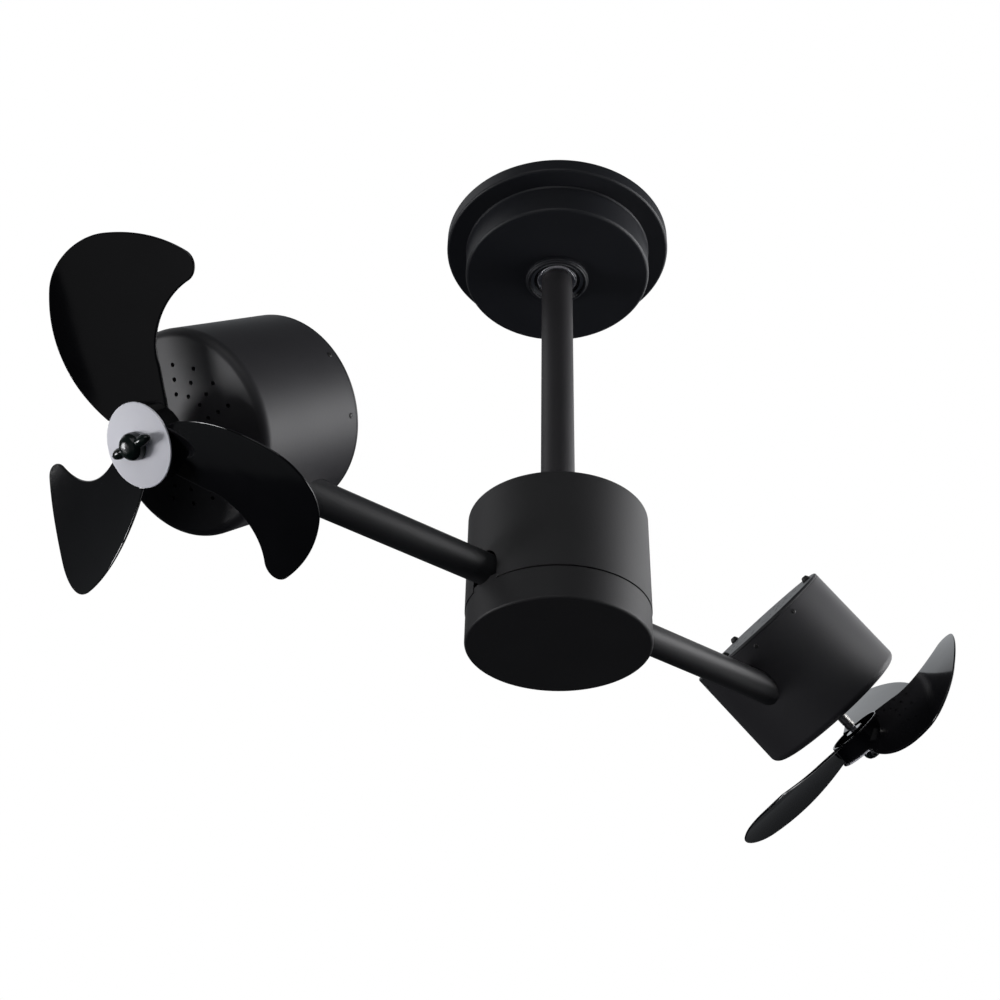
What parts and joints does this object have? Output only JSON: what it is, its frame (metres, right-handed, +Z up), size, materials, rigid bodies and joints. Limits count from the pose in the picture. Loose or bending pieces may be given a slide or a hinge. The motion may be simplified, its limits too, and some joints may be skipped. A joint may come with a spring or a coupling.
{
  "type": "twin head ceiling fan",
  "caption": "Ceiling fan with a round canopy, a turning downrod and drum hub, and opposed arms that each carry a swivelling drum head with an open propeller.",
  "frame": {"origin": "centre of the ceiling strap's screw pattern, on the ceiling plane", "axes": "+Z up into the ceiling, +X along the arms towards the right head, +Y towards the back; the front, -Y, faces the viewer"},
  "size_m": [0.8249, 0.2597, 0.463],
  "materials": {
    "canopy_paint": "satin black powder coat",
    "downrod_paint": "satin black powder coat",
    "hub_paint": "satin black powder coat",
    "arm_paint": "satin black powder coat",
    "head_paint": "satin black powder coat",
    "cap_paint": "satin black powder coat",
    "screw_black": "blackened steel",
    "blade_plastic": "gloss black moulding",
    "nut_plastic": "gloss dark green-black moulding",
    "disc_metal": "polished pressed sheet",
    "bright_steel": "turned",
    "zinc_steel": "zinc plated",
    "cast_alloy": "die cast",
    "core_steel": "stacked laminations",
    "copper_wire": "enamelled wire",
    "contact_brass": "turned",
    "black_insulator": "moulded",
    "capacitor_case": "moulded",
    "board_laminate": "lacquered laminate"
  },
  "bodies": {
    "ceiling_mount": {"ceiling_strap": "zinc_steel", "ceiling_plate": "canopy_paint", "canopy_drum": "canopy_paint", "bearing_housing": "zinc_steel", "housing_screws": "zinc_steel", "canopy_collar": "canopy_paint", "lower_bearing_outer": "bright_steel", "thrust_bearing": "bright_steel", "slip_ring_spindle": "contact_brass"},
    "turning_frame": {"downrod": "downrod_paint", "thrust_collar": "bright_steel", "rod_pins": "bright_steel", "lower_bearing_inner": "bright_steel", "slip_ring_barrel": "black_insulator", "hub_casing": "hub_paint", "hub_cup": "hub_paint", "hub_block": "cast_alloy", "rod_nut": "zinc_steel", "casing_screws": "screw_black", "arm_set_screws": "screw_black", "capacitors": "capacitor_case", "control_board": "board_laminate", "left_arm": "arm_paint", "right_arm": "arm_paint", "arm_clips": "bright_steel"},
    "left_head": {"left_head_shell": "head_paint", "left_arm_lock_screw": "screw_black", "left_rear_cap": "cap_paint", "left_cap_screws": "screw_black", "left_shaft_bush": "bright_steel", "left_motor_front": "cast_alloy", "left_motor_rear": "cast_alloy", "left_stator_core": "core_steel", "left_windings": "copper_wire", "left_motor_bolts": "zinc_steel", "left_rear_bearing": "bright_steel"},
    "left_rotor": {"left_rotor": "core_steel", "left_shaft": "bright_steel", "left_drive_pin": "bright_steel", "left_propeller": "blade_plastic", "left_nose_disc": "disc_metal", "left_wing_nut": "nut_plastic"},
    "right_head": {"right_head_shell": "head_paint", "right_arm_lock_screw": "screw_black", "right_rear_cap": "cap_paint", "right_cap_screws": "screw_black", "right_shaft_bush": "bright_steel", "right_motor_front": "cast_alloy", "right_motor_rear": "cast_alloy", "right_stator_core": "core_steel", "right_windings": "copper_wire", "right_motor_bolts": "zinc_steel", "right_rear_bearing": "bright_steel"},
    "right_rotor": {"right_rotor": "core_steel", "right_shaft": "bright_steel", "right_drive_pin": "bright_steel", "right_propeller": "blade_plastic", "right_nose_disc": "disc_metal", "right_wing_nut": "nut_plastic"}
  },
  "joints": [
    {"name": "frame_spin", "type": "hinge", "parent": "ceiling_mount", "child": "turning_frame", "pos_m": [0, 0, 0], "axis": [0, 0, 1], "continuous": true},
    {"name": "left_head_swivel", "type": "hinge", "parent": "turning_frame", "child": "left_head", "pos_m": [-0.311, 0, -0.371], "axis": [1, 0, 0], "range_deg": [-77.8, 102.2]},
    {"name": "left_propeller_spin", "type": "hinge", "parent": "left_head", "child": "left_rotor", "pos_m": [-0.30375, 0.00396, -0.36496], "axis": [-0.7325, -0.1439, -0.6653], "continuous": true},
    {"name": "right_head_swivel", "type": "hinge", "parent": "turning_frame", "child": "right_head", "pos_m": [0.309, 0, -0.371], "axis": [1, 0, 0], "range_deg": [-75.5, 104.5]},
    {"name": "right_propeller_spin", "type": "hinge", "parent": "right_head", "child": "right_rotor", "pos_m": [0.30175, -0.00083, -0.36383], "axis": [0.7325, -0.1704, -0.659], "continuous": true}
  ]
}
